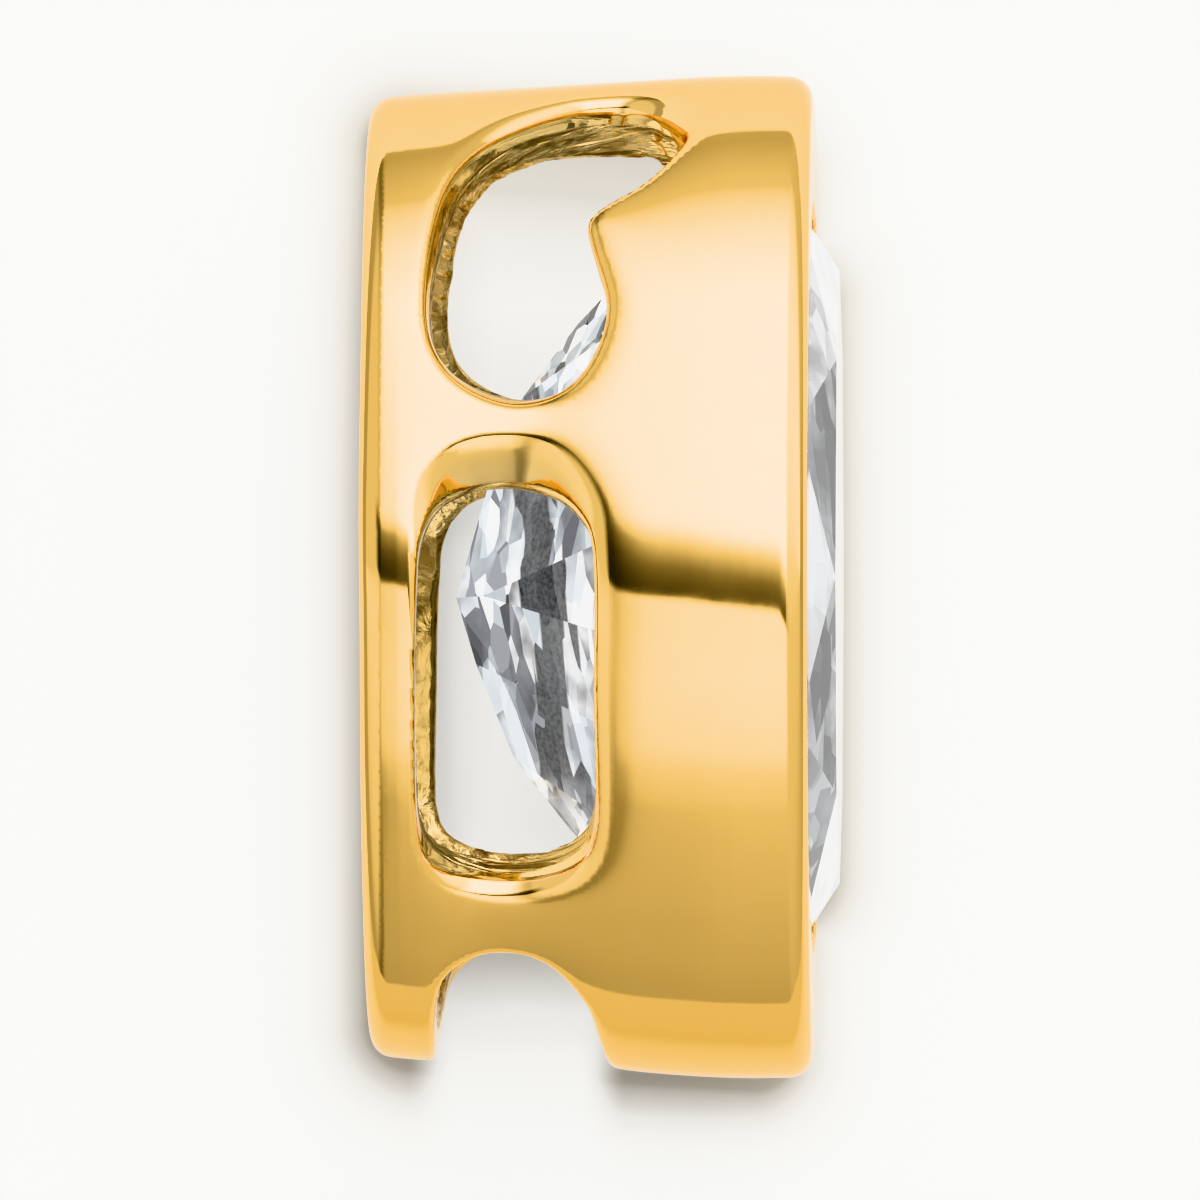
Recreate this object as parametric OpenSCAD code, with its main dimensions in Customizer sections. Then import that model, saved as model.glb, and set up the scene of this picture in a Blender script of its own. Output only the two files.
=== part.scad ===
// Slide pendant: one cast gold setting, pierced by gallery windows, that holds an oval faceted stone.
// It is drawn about its own axis first: X up to 12 o'clock, Y out of its side, Z out of the stone.
// lie() then lays it on its side, resting on its tapered wall, with the stone facing +X and 12 o'clock at +Y.

/* [Stone] */
// Length of the stone at its girdle, from 6 to 12 o'clock
stone_length = 10; // [9.6:0.1:10.4]
// Width of the stone at its girdle
stone_width = 8; // [7.8:0.1:8.2]
// Length of the table as a share of the stone's length
table_share = 0.712; // [0.66:0.002:0.74]
// Height of the crown, from the girdle's upper edge to the table
crown_height = 0.95; // [0.8:0.01:1.05]
// Thickness of the girdle
girdle_height = 0.12; // [0.08:0.01:0.2]
// How far out the tips of the star facets lie, as a share of the stone's radius
star_reach = 0.91; // [0.88:0.005:0.93]
// How much steeper the lower half of the pavilion is cut, which moves the point down
pavilion_lean = 0.021; // [0:0.001:0.03]

/* [Setting] */
// Length of the setting along its axis
setting_length = 5.15; // [5.05:0.01:5.4]
// Height of the girdle's upper edge above the rear rim
girdle_level = 4.5; // [4.3:0.01:4.52]
// Half of the setting's height at its widest
outer_half = 5.826; // [5.7:0.01:6]
// Half of its height at the rear rim
rear_half = 5.594; // [5.5:0.01:5.65]
// Distance of the widest place from the rear rim
widest_level = 4.06; // [3.8:0.01:4.2]
// Half of the height of the hollow behind the stone
bore_half = 4.96; // [4.9:0.01:4.98]
// Half of the height of the front opening, inside the lip
lip_half = 4.27; // [4.2:0.01:4.4]
// Bevel of the lip's inner edge, measured across the front
lip_bevel = 0.1; // [0.05:0.01:0.15]
// Height of the slope under the stone's seat
seat_slope = 0.5; // [0.3:0.01:0.8]
// Radius of the front outer edge
front_round = 0.28; // [0.15:0.01:0.35]
// Radius of the rear outer edge
rear_round = 0.19; // [0.1:0.01:0.25]
// Bevel of the rear rim's inner edge
rear_bevel = 0.12; // [0.05:0.01:0.2]
// Depth under the outer surface at which the windows' inner outlines are given
window_depth = 0.82; // [0.8:0.01:0.9]
// Clearance between the stone and its seat
seat_gap = 0.03; // [0.02:0.005:0.05]

/* [Hidden] */

// The oval is four arcs: its length less its width sets where their centres lie.
half_difference = (stone_length - stone_width) / 2;
end_centre_share = 1.625;
end_centre = end_centre_share * half_difference;
side_centre = half_difference + half_difference ^ 2 / (2 * (end_centre - half_difference));
join_turn = atan(side_centre / end_centre);
end_radius = outer_half - end_centre;
side_radius = outer_half - half_difference + side_centre;
end_arc = end_radius * join_turn * PI / 180;
quarter = end_arc + side_radius * (90 - join_turn) * PI / 180;

// Sizes of the stone, and its levels above the rear rim
stone_half = stone_length / 2;
width_share = stone_width / stone_length;
girdle_foot = girdle_level - girdle_height;
table_level = girdle_level + crown_height;

// The widest place is this much wider than the front edge, and the lip's bevel is this deep.
front_inset = 0.02;
lip_drop = 0.7 * lip_bevel;

// The taper of the outer wall, which is also how far the pendant leans when it lies on it
taper = atan((outer_half - rear_half) / (widest_level - rear_round));
rest_height = outer_half - half_difference - widest_level * tan(taper);

// The foremost place is the table's lowest corner, and the rearmost the rim's highest.
foremost = table_level * cos(taper) + stone_half * width_share * table_share * sin(taper);
rearmost = (half_difference + rear_round - rear_half) * sin(taper);

// Fineness: edges in a rounded corner, points between two rows of a window, sides of a whole turn
corner_steps = 4;
window_steps = 3;
turn_sides = 96;

// How far cutters run past the wall, as shares of the window's depth, and how far their caps rise
past_outside = 0.5;
past_inside = 0.6;
cap_rise = 2;

// Degrees that a sector of the wall is swept past its cuts, how far out the cuts run, and spare height
sector_spare = 7;
cut_reach = 4;
spare = 1;

// Facets of the crown lie in eighths, and a large cube stands for all that is behind a facet.
fold = 8;
large = 30;

// Windows are closed curves through these rows: the outer edge, then the inner edge.
// Columns: level above the rear rim, way along the wall from 12 o'clock, then both again at the inner edge.
upper_window = [
    [0.715, 5.02, 0.80, 4.95],
    [0.97, 5.98, 1.06, 5.65],
    [1.73, 6.41, 1.80, 6.00],
    [2.48, 6.11, 2.38, 5.80],
    [2.82, 5.16, 2.72, 5.10],
    [2.61, 4.19, 2.53, 4.20],
    [2.55, 3.84, 2.50, 3.90],
    [2.74, 3.59, 2.68, 3.60],
    [3.20, 3.26, 3.10, 3.15],
    [3.56, 2.75, 3.42, 2.60],
    [3.68, 2.20, 3.52, 1.95],
    [3.28, 1.45, 3.15, 1.10],
    [2.70, 1.38, 2.62, 0.95],
    [2.12, 1.65, 2.12, 1.15],
    [1.35, 2.42, 1.42, 2.00],
    [0.88, 3.43, 0.99, 3.20],
];
lower_window = [
    [0.68, 7.60, 0.74, 7.85],
    [0.68, 9.80, 0.64, 9.80],
    [0.68, 11.60, 0.66, 11.55],
    [0.88, 12.20, 0.90, 12.08],
    [1.40, 12.43, 1.40, 12.30],
    [2.05, 12.38, 2.00, 12.26],
    [2.55, 12.05, 2.45, 11.95],
    [2.74, 11.40, 2.60, 11.35],
    [2.74, 9.80, 2.60, 9.80],
    [2.74, 8.10, 2.60, 8.15],
    [2.56, 7.37, 2.45, 7.55],
    [2.15, 6.88, 2.05, 7.23],
    [1.50, 6.78, 1.55, 7.20],
    [0.93, 7.00, 1.05, 7.35],
];
// One side of the slot across 6 o'clock, and its foremost place. The way is measured from 6 o'clock.
slot_side = [
    [0.74, 0.00, 0.80, 0.00],
    [0.76, 1.60, 0.82, 1.50],
    [0.83, 2.81, 0.92, 2.65],
    [1.11, 3.44, 1.16, 3.25],
    [1.58, 3.68, 1.60, 3.48],
    [2.10, 3.50, 2.06, 3.30],
    [2.49, 2.81, 2.42, 2.65],
    [2.67, 1.96, 2.60, 1.85],
];
slot_front = [2.78, 0.00, 2.70, 0.00];

// Pavilion facets touch the girdle. Columns: direction from 12 o'clock, slope to the girdle's plane.
pavilion_facets = [
    [0, 44.4],
    [15, 45.5],
    [31.5, 42],
    [46, 43.6],
    [61.3, 39.4],
    [69, 39.3],
    [79, 42.2],
    [90, 40.6],
];

// A closed smooth curve through the rows of a table
function row_at(rows, i) = rows[(i + len(rows)) % len(rows)];
function between(rows, i, t) =
    let (a = row_at(rows, i - 1), b = row_at(rows, i), c = row_at(rows, i + 1), d = row_at(rows, i + 2))
    (2 * b + (c - a) * t + (2 * a - 5 * b + 4 * c - d) * t ^ 2 + (3 * b - a - 3 * c + d) * t ^ 3) / 2;
function smooth_loop(rows) = [
    for (i = [0 : len(rows) - 1])
        for (j = [0 : window_steps - 1])
            between(rows, i, j / window_steps)
];

// The place at a way along the outer oval from 12 o'clock, and at a depth under it
function place_in_quarter(way, depth) =
    way < end_arc
        ? let (turn = way / end_radius * 180 / PI)
            [end_centre + (end_radius - depth) * cos(turn), (end_radius - depth) * sin(turn)]
        : let (turn = join_turn + (way - end_arc) / side_radius * 180 / PI)
            [(side_radius - depth) * cos(turn), (side_radius - depth) * sin(turn) - side_centre];
function place(way, depth) =
    way < 0 ? let (p = place(-way, depth)) [p[0], -p[1]]
    : way <= quarter ? place_in_quarter(way, depth)
    : let (p = place(2 * quarter - way, depth)) [-p[0], p[1]];

// A window's two edges, and the same carried on past both faces of the wall
function wall_point(way, depth, level) = let (p = place(way, depth)) [p[0], p[1], level];
function outer_edge(row) = wall_point(row[1], 0, row[0]);
function inner_edge(row) = wall_point(row[3], window_depth, row[2]);
function past(from, to, share) = to + (to - from) * share;
function mean(values) = values * [for (v = values) 1] / len(values);
function over_middle(rows, depth) =
    wall_point(mean([for (row = rows) row[1]]), depth, mean([for (row = rows) row[0]]));

// The solid that a window takes out of the wall
module window_cutter(rows) {
    loop = smooth_loop(rows);
    count = len(loop);
    outside = [for (row = loop) past(inner_edge(row), outer_edge(row), past_outside)];
    inside = [for (row = loop) past(outer_edge(row), inner_edge(row), past_inside)];
    caps = [over_middle(rows, -cap_rise), over_middle(rows, cap_rise)];
    polyhedron(
        points = concat(outside, inside, caps),
        faces = [
            for (i = [0 : count - 1])
                let (next = (i + 1) % count)
                each [
                    [i, next, count + next],
                    [i, count + next, count + i],
                    [next, i, 2 * count],
                    [count + i, count + next, 2 * count + 1],
                ]
        ]
    );
}

// The slot's two sides joined into one closed table, with the way measured from 12 o'clock
function slot_row(row, side) = [row[0], 2 * quarter + side * row[1], row[2], 2 * quarter + side * row[3]];
slot = concat(
    [for (row = slot_side) slot_row(row, 1)],
    [slot_row(slot_front, 1)],
    [for (i = [len(slot_side) - 1 : -1 : 1]) slot_row(slot_side[i], -1)]
);

// Rounds the section's points to four decimals, so that the four sectors meet exactly
decimals = 10000;
function fine(value) = round(value * decimals) / decimals;

// A rounded corner as a few short edges
function round_corner(centre, radius, start, end) = [
    for (i = [0 : corner_steps])
        let (turn = start + (end - start) * i / corner_steps)
        centre + radius * [cos(turn), sin(turn)]
];

// The wall's section at 12 o'clock: distance from the axis, level above the rear rim
wall_section = concat(
    [[bore_half + rear_bevel, 0]],
    round_corner([rear_half - rear_round, rear_round], rear_round, 270, 360 - taper),
    [[outer_half, widest_level]],
    round_corner([outer_half - front_inset - front_round, setting_length - front_round], front_round, 0, 90),
    [
        [lip_half + lip_bevel, setting_length],
        [lip_half, setting_length - lip_drop],
        [lip_half, girdle_level],
        [bore_half, girdle_foot - seat_slope],
        [bore_half, rear_bevel],
    ]
);

// The section swept both ways from a middle direction about a centre, and cut off at two lines
module wall_sector(centre, shift, middle_turn, half_sweep, cut) {
    intersection() {
        translate(centre)
            rotate_extrude(start = middle_turn - half_sweep, angle = 2 * half_sweep, $fn = turn_sides)
                polygon([for (p = wall_section) [fine(p[0] + shift), fine(p[1])]]);
        translate([0, 0, -spare])
            linear_extrude(height = setting_length + 2 * spare)
                polygon(cut);
    }
}

// The wall swept round the four arcs of the oval, which meet on the lines through their centres
module oval_wall() {
    far = [end_centre, 0] + cut_reach * [end_centre, side_centre];
    for (end = [0, 1])
        mirror([end, 0, 0])
            wall_sector(
                [end_centre, 0, 0], -end_centre, 0, ceil(join_turn) + sector_spare,
                [[end_centre, 0], [far[0], -far[1]], far]
            );
    for (side = [0, 1])
        mirror([0, side, 0])
            wall_sector(
                [0, -side_centre, 0], side_centre - half_difference, 90, 90 - floor(join_turn) + sector_spare,
                [[0, -side_centre], far, [-far[0], far[1]]]
            );
}

// A place on the stone: turn from 12 o'clock and share of the radius as if it were round, and level
function on_stone(turn, share, level) =
    [stone_half * share * cos(turn), stone_half * width_share * share * sin(turn), level];

// Facet planes are given as a unit normal and a distance from the origin.
function unit(v) = v / norm(v);
function plane_through(a, b, c) =
    let (n = unit(cross(b - a, c - a)))
    let (out = n * a < 0 ? -n : n)
    [out, out * a];

// The crown: a kite, a star and two halves for each eighth
function kite_level(share_along) = girdle_level + (1 - share_along) / (1 - table_share) * crown_height;
star_level = kite_level(star_reach * cos(180 / fold));
crown_planes = [
    for (i = [0 : fold - 1])
        let (turn = i * 360 / fold, half = 180 / fold)
        let (table_here = on_stone(turn, table_share, table_level))
        let (table_next = on_stone(turn + 2 * half, table_share, table_level))
        let (tip = on_stone(turn + half, star_reach, star_level))
        let (tip_before = on_stone(turn - half, star_reach, star_level))
        let (foot = on_stone(turn, 1, girdle_level))
        let (foot_next = on_stone(turn + 2 * half, 1, girdle_level))
        let (foot_between = on_stone(turn + half, 1, girdle_level))
        each [
            plane_through(table_here, tip, tip_before),
            plane_through(table_here, table_next, tip),
            plane_through(foot, foot_between, tip),
            plane_through(foot_between, foot_next, tip),
        ]
];

// The pavilion: each facet of the table, mirrored into the four quarters
function girdle_reach(turn) = stone_half * norm([cos(turn), width_share * sin(turn)]);
function pavilion_plane(turn, slope) =
    let (steep = atan(tan(slope) * (1 - pavilion_lean * sign(cos(turn)))))
    let (n = [cos(turn) * sin(steep), sin(turn) * sin(steep), -cos(steep)])
    [n, girdle_reach(turn) * sin(steep) - girdle_foot * cos(steep)];
function mirrored_turns(turn) =
    turn == 0 ? [0, 180]
    : turn == 90 ? [90, 270]
    : [turn, 180 - turn, 180 + turn, 360 - turn];
pavilion_planes = [
    for (row = pavilion_facets)
        for (turn = mirrored_turns(row[0]))
            pavilion_plane(turn, row[1])
];

// All that lies on the inner side of a plane, out to well past the stone
module inner_side(plane, grow) {
    n = plane[0];
    rotate([0, acos(n[2]), atan2(n[1], n[0])])
        translate([-large / 2, -large / 2, plane[1] + grow - large])
            cube(large);
}

// The stone, or with grow above 0 the room that its seat leaves for it
module stone_body(grow = 0) {
    girdle_sides = 4 * fold;
    outline = [for (i = [0 : girdle_sides - 1]) on_stone(i * 360 / girdle_sides, 1 + grow / stone_half, 0)];
    intersection() {
        translate([0, 0, -large / 2])
            linear_extrude(height = table_level + grow + large / 2)
                polygon([for (p = outline) [p[0], p[1]]]);
        intersection_for(plane = concat(crown_planes, pavilion_planes))
            inner_side(plane, grow);
    }
}

// Lays the pendant on its side, on the straight part of its tapered wall
module lie() {
    translate([-(foremost + rearmost) / 2, 0, rest_height * cos(taper)])
        rotate([0, -taper, 0])
            rotate([90, 0, 90])
                children();
}

module setting() {
    color("goldenrod")
        lie()
            difference() {
                oval_wall();
                stone_body(seat_gap);
                for (side = [0, 1])
                    mirror([0, side, 0]) {
                        window_cutter(upper_window);
                        window_cutter(lower_window);
                    }
                window_cutter(slot);
            }
}

module stone() {
    color("aliceblue")
        lie()
            stone_body();
}

setting();
stone();
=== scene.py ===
import math

import bpy
import numpy as np
from mathutils import Matrix, Vector


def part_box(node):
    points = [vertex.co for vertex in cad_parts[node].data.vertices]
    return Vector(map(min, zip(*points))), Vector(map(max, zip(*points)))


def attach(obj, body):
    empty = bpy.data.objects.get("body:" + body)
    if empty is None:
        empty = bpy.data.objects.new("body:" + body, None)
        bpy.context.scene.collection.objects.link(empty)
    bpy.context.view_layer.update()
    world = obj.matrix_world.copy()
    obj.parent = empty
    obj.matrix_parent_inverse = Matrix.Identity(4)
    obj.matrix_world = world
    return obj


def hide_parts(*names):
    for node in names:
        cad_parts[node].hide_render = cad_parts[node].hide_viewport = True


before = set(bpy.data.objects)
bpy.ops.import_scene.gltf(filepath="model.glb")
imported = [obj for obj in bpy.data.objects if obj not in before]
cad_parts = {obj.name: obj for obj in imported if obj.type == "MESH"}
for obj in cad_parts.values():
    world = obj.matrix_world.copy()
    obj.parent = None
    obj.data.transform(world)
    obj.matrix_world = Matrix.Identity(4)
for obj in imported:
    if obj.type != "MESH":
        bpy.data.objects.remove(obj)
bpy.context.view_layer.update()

# The slide pendant lies on its side: one polished gold casting, pierced by windows, round an oval stone.
# Shapes are worked out in millimetres about the pendant's own axis, and placed in metres at the end:
# v runs up to 12 o'clock, w out of its side, and u from the rear rim towards the stone's face.
MM = 0.001

# The oval wall: halves of its height, and levels above the rear rim
OUTER_HALF = 5.826
REAR_HALF = 5.594
BORE_HALF = 4.96
LIP_HALF = 4.27
SETTING_LENGTH = 5.15
GIRDLE_LEVEL = 4.5
GIRDLE_FOOT = 4.38
WIDEST_LEVEL = 4.06
SEAT_SLOPE = 0.5
REAR_BEVEL = 0.12
FRONT_ROUND = 0.28
LIP_BEVEL = 0.1
# The rear edge's radius in the solids, and as it is polished
REAR_ROUND = 0.19
REAR_SOFT = 0.26
# The straight taper ends at this level, and bends from there to this slope at the front
CROWN_START = 3.7
FRONT_SLOPE = -0.03
# Behind this level the face bends in, with this curvature
REAR_BEND_END = 0.6
REAR_BEND = 0.18
# Both rims are polished over the first of these widths, and cast from the second on
RIM_POLISHED = 0.12
RIM_CAST = 0.35
# How much less the half width is than the half height, and the centres of the oval's arcs
HALF_DIFFERENCE = 1.0
END_CENTRE = 1.625
SIDE_CENTRE = 1.8

# Arcs of the outer oval
OUTER_HALF_WIDTH = OUTER_HALF - HALF_DIFFERENCE
JOIN_TURN = math.atan2(SIDE_CENTRE, END_CENTRE)
END_RADIUS = OUTER_HALF - END_CENTRE
SIDE_RADIUS = OUTER_HALF_WIDTH + SIDE_CENTRE
END_ARC = END_RADIUS * JOIN_TURN
QUARTER = END_ARC + SIDE_RADIUS * (math.pi / 2 - JOIN_TURN)

# How it lies: on its tapered wall, which leans it by the taper
TAPER_SLOPE = (OUTER_HALF - REAR_HALF) / (WIDEST_LEVEL - REAR_ROUND)
TAPER = math.atan(TAPER_SLOPE)

# Windows are closed curves through these rows, on the outer face and at WINDOW_DEPTH under it.
# Columns: level, way along the wall from 12 o'clock, then both again at the inner edge.
WINDOW_DEPTH = 0.82
UPPER_WINDOW = [
    (0.715, 5.02, 0.80, 4.95),
    (0.97, 5.98, 1.06, 5.65),
    (1.73, 6.41, 1.80, 6.00),
    (2.48, 6.11, 2.48, 5.80),
    (2.82, 5.16, 2.88, 5.10),
    (2.61, 4.19, 2.74, 4.20),
    (2.55, 3.84, 2.72, 3.85),
    (2.74, 3.59, 2.88, 3.60),
    (3.20, 3.26, 3.30, 3.15),
    (3.56, 2.75, 3.60, 2.60),
    (3.68, 2.20, 3.62, 1.95),
    (3.28, 1.45, 3.20, 1.10),
    (2.70, 1.38, 2.62, 0.95),
    (2.12, 1.65, 2.12, 1.15),
    (1.35, 2.42, 1.42, 2.00),
    (0.88, 3.43, 0.99, 3.20),
]
LOWER_WINDOW = [
    (0.71, 7.60, 0.72, 7.90),
    (0.71, 8.50, 0.66, 8.60),
    (0.71, 9.80, 0.64, 9.80),
    (0.70, 11.60, 0.66, 11.55),
    (0.88, 12.20, 0.90, 12.08),
    (1.40, 12.43, 1.40, 12.30),
    (2.05, 12.38, 2.00, 12.26),
    (2.55, 12.05, 2.50, 11.95),
    (2.74, 11.40, 2.70, 11.35),
    (2.74, 9.80, 2.70, 9.80),
    (2.74, 8.10, 2.70, 8.15),
    (2.56, 7.37, 2.52, 7.62),
    (2.15, 6.88, 2.10, 7.29),
    (1.50, 6.78, 1.55, 7.24),
    (0.93, 7.00, 1.00, 7.42),
]
SLOT_SIDE = [
    (0.74, 0.00, 0.80, 0.00),
    (0.76, 1.60, 0.82, 1.50),
    (0.83, 2.72, 0.92, 2.62),
    (1.11, 3.24, 1.16, 3.14),
    (1.58, 3.45, 1.60, 3.35),
    (2.10, 3.30, 2.06, 3.18),
    (2.49, 2.72, 2.42, 2.60),
    (2.67, 1.92, 2.60, 1.85),
]
SLOT_FRONT = (2.78, 0.00, 2.70, 0.00)

# Fineness of the mesh, and of the tables and outlines that shapes are looked up in
VOXEL = 0.075
PITCH = 0.02
NEAR = 0.6
NORMAL_STEP = 0.025
WALL_POINTS = 24
# Cells of the grid beyond the setting on each side, and parts that the field is worked out in
GRID_SPARE = 3
GRID_PARTS = 8
# How the net's corners are moved on to the surface: rounds, least squared slope and longest move in cells
SETTLE_ROUNDS = 3
SETTLE_SLOPE = 0.2
SETTLE_MOVE = 0.5

# The stone's seat
SEAT_GAP = 0.03

# The long sides of the lower windows are calmer and carry painted shade: ways along the wall where this
# starts, is whole and ends
CALM_WAYS = (7.6, 8.6, 11.0, 12.0)

# The camera: the image's centre, size in pixels and scale, its lean, and its distances in millimetres
AIM_LEVEL = 2.663
AIM_UP = -0.267
IMAGE_PIXELS = 1200
PIXELS_PER_MM = 86
CAMERA_LEAN = math.radians(-2.03)
CAMERA_DISTANCE = 375
CAMERA_NEAR = 10
SENSOR = 36


# Shapes by signed distance

class Lookup:
    """A field worked out once on a flat grid and read between its points."""

    def __init__(self, low, high, field, soften=0.0):
        self.low = np.array(low, float)
        counts = np.ceil((np.array(high) - self.low) / PITCH).astype(int) + 1
        axes = [self.low[k] + PITCH * np.arange(counts[k]) for k in (0, 1)]
        grid = np.stack(np.meshgrid(*axes, indexing="ij"), -1)
        self.values = field(grid.reshape(-1, 2)).reshape(counts)
        if soften:
            self.values = blurred(self.values, soften / PITCH)

    def at(self, x, y):
        counts = self.values.shape
        fx = np.clip((x - self.low[0]) / PITCH, 0, counts[0] - 1.001)
        fy = np.clip((y - self.low[1]) / PITCH, 0, counts[1] - 1.001)
        ix, iy = fx.astype(int), fy.astype(int)
        tx, ty = fx - ix, fy - iy
        table = self.values
        near = table[ix, iy] * (1 - ty) + table[ix, iy + 1] * ty
        far = table[ix + 1, iy] * (1 - ty) + table[ix + 1, iy + 1] * ty
        return near * (1 - tx) + far * tx


def blurred(values, sigma):
    reach = int(math.ceil(3 * sigma))
    weights = np.exp(-0.5 * (np.arange(-reach, reach + 1) / sigma) ** 2)
    weights /= weights.sum()
    for axis in (0, 1):
        rows = np.moveaxis(values, axis, 0)
        padded = np.concatenate([
            rows[:1] - (rows[1:2] - rows[:1]) * np.arange(reach, 0, -1)[:, None],
            rows,
            rows[-1:] + (rows[-1:] - rows[-2:-1]) * np.arange(1, reach + 1)[:, None],
        ])
        total = sum(w * padded[k:k + len(rows)] for k, w in enumerate(weights))
        values = np.moveaxis(total, 0, axis)
    return values


def outline_distance(outline, points):
    """Signed distance to a closed outline, negative inside."""
    start = np.array(outline, float)
    end = np.roll(start, -1, axis=0)
    nearest = np.full(len(points), np.inf)
    inside = np.zeros(len(points), bool)
    for a, b in zip(start, end):
        edge = b - a
        offset = points - a
        along = np.clip(offset @ edge / max(edge @ edge, 1e-12), 0, 1)
        gap = offset - along[:, None] * edge
        nearest = np.minimum(nearest, (gap ** 2).sum(1))
        crosses = (a[1] > points[:, 1]) != (b[1] > points[:, 1])
        if edge[1]:
            inside ^= crosses & (points[:, 0] < a[0] + (points[:, 1] - a[1]) * edge[0] / edge[1])
    return np.where(inside, -1, 1) * np.sqrt(nearest)


def smooth_loop(rows, steps=6):
    """A closed smooth curve through the rows of a table."""
    rows = np.array(rows, float)
    a, b, c, d = (np.roll(rows, shift, axis=0) for shift in (1, 0, -1, -2))
    curve = []
    for t in np.arange(steps) / steps:
        curve.append((2 * b + (c - a) * t + (2 * a - 5 * b + 4 * c - d) * t ** 2
                      + (3 * b - a - 3 * c + d) * t ** 3) / 2)
    return np.stack(curve, 1).reshape(-1, rows.shape[1])


def smooth_step(low, high, value):
    t = np.clip((value - low) / (high - low), 0, 1)
    return t * t * (3 - 2 * t)


def smooth_hump(low, full, still, high, value):
    """1 from full to still, 0 up to low and from high on."""
    return smooth_step(low, full, value) * smooth_step(high, still, value)


def blend(a, b, share):
    return a + (b - a) * share


def smooth_max(a, b, width):
    """The larger of two distances, with the crease between them rounded over a width."""
    share = np.maximum(width - np.abs(a - b), 0) / width
    return np.maximum(a, b) + width * share ** 3 / 6


class Lumps:
    """Smooth random lumps, the same in each run."""

    COUNT = 32

    def __init__(self, size, seed):
        self.size = size
        self.values = np.random.default_rng(seed).uniform(-1, 1, (self.COUNT,) * 3)

    def at(self, points):
        place = points / self.size
        cell = np.floor(place).astype(int)
        t = place - cell
        t = t * t * (3 - 2 * t)
        total = 0
        for step in np.ndindex(2, 2, 2):
            x, y, z = ((cell + step) % self.COUNT).T
            share = np.where(step, t, 1 - t).prod(axis=1)
            total = total + self.values[x, y, z] * share
        return total


def outer_profile(level):
    """Half of the setting's height at a level: the taper, with a gentle crown towards both ends."""
    front = SETTING_LENGTH - FRONT_ROUND
    past = np.maximum(level - CROWN_START, 0)
    bend = (TAPER_SLOPE - FRONT_SLOPE) / (front - CROWN_START)
    before = np.maximum(REAR_BEND_END - level, 0)
    straight = REAR_HALF + TAPER_SLOPE * (level - REAR_ROUND)
    return straight - bend * past ** 2 / 2 - REAR_BEND * before ** 2 / 2


def between_rims(level):
    """0 on both of the setting's polished rims, 1 between them."""
    front = SETTING_LENGTH
    return smooth_hump(RIM_POLISHED, RIM_CAST, front - RIM_CAST, front - RIM_POLISHED, level)


def corner(centre, radius, start, end, steps=8):
    turns = np.radians(np.linspace(start, end, steps))
    return [(centre[0] + radius * math.cos(a), centre[1] + radius * math.sin(a)) for a in turns]


def wall_section():
    """The wall's section at 12 o'clock: distance from the axis, level."""
    front = SETTING_LENGTH - FRONT_ROUND
    levels = np.linspace(REAR_SOFT, front, WALL_POINTS)[1:-1]
    front_half = float(outer_profile(front))
    rear_half = float(outer_profile(REAR_SOFT))
    return (
        [(BORE_HALF + REAR_BEVEL, 0)]
        + corner((rear_half - REAR_SOFT, REAR_SOFT), REAR_SOFT, 270, 360)
        + [(float(outer_profile(level)), float(level)) for level in levels]
        + corner((front_half - FRONT_ROUND, front), FRONT_ROUND, 0, 90)
        + [
            (LIP_HALF + LIP_BEVEL, SETTING_LENGTH),
            (LIP_HALF, SETTING_LENGTH - LIP_BEVEL),
            (LIP_HALF, GIRDLE_LEVEL),
            (BORE_HALF, GIRDLE_FOOT - SEAT_SLOPE),
            (BORE_HALF, REAR_BEVEL),
        ]
    )


def slot_rows():
    """The slot's two sides as one closed table, with the way measured from 6 o'clock."""
    other = [(row[0], -row[1], row[2], -row[3]) for row in reversed(SLOT_SIDE[1:])]
    return SLOT_SIDE + [SLOT_FRONT] + other


def window_lookups(rows, soften=0.06, spare=1.6):
    curve = smooth_loop(rows)
    low = curve[:, [1, 0]].min(0) - spare
    high = curve[:, [1, 0]].max(0) + spare
    return [
        Lookup(low, high, lambda p, edge=curve[:, columns]: outline_distance(edge, p), soften)
        for columns in ([1, 0], [3, 2])
    ]


def oval_place(v, w):
    """Offset of the oval through a point, as its half height, and the way from 12 o'clock."""
    a, b = np.abs(v), np.abs(w)
    at_end = (a > END_CENTRE) & (END_CENTRE * b < SIDE_CENTRE * (a - END_CENTRE))
    end_way = END_RADIUS * np.arctan2(b, np.maximum(a - END_CENTRE, 1e-9))
    side_way = END_ARC + SIDE_RADIUS * (np.arctan2(b + SIDE_CENTRE, a) - JOIN_TURN)
    half = np.where(
        at_end,
        np.hypot(a - END_CENTRE, b) + END_CENTRE,
        np.hypot(a, b + SIDE_CENTRE) - SIDE_CENTRE + HALF_DIFFERENCE,
    )
    way = np.where(at_end, end_way, side_way)
    return half, np.where(v >= 0, way, 2 * QUARTER - way)


def stone_planes(stone):
    """The stone's facet planes in the pendant's own frame: unit normals and distances."""
    corners = np.array([v.co for v in stone.data.vertices], float)
    inverse = np.array(own_to_world().inverted())
    corners = (np.c_[corners, np.ones(len(corners))] @ inverse.T)[:, :3]
    centre = corners.mean(0)
    planes = []
    for face in stone.data.polygons:
        a, b, c = (corners[face.vertices[k]] for k in range(3))
        normal = np.cross(b - a, c - a)
        size = np.linalg.norm(normal)
        if size < 1e-6:
            continue
        normal /= size
        if normal @ (a - centre) < 0:
            normal = -normal
        planes.append(np.r_[normal, normal @ a])
    return np.unique(np.round(planes, 4), axis=0)


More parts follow.
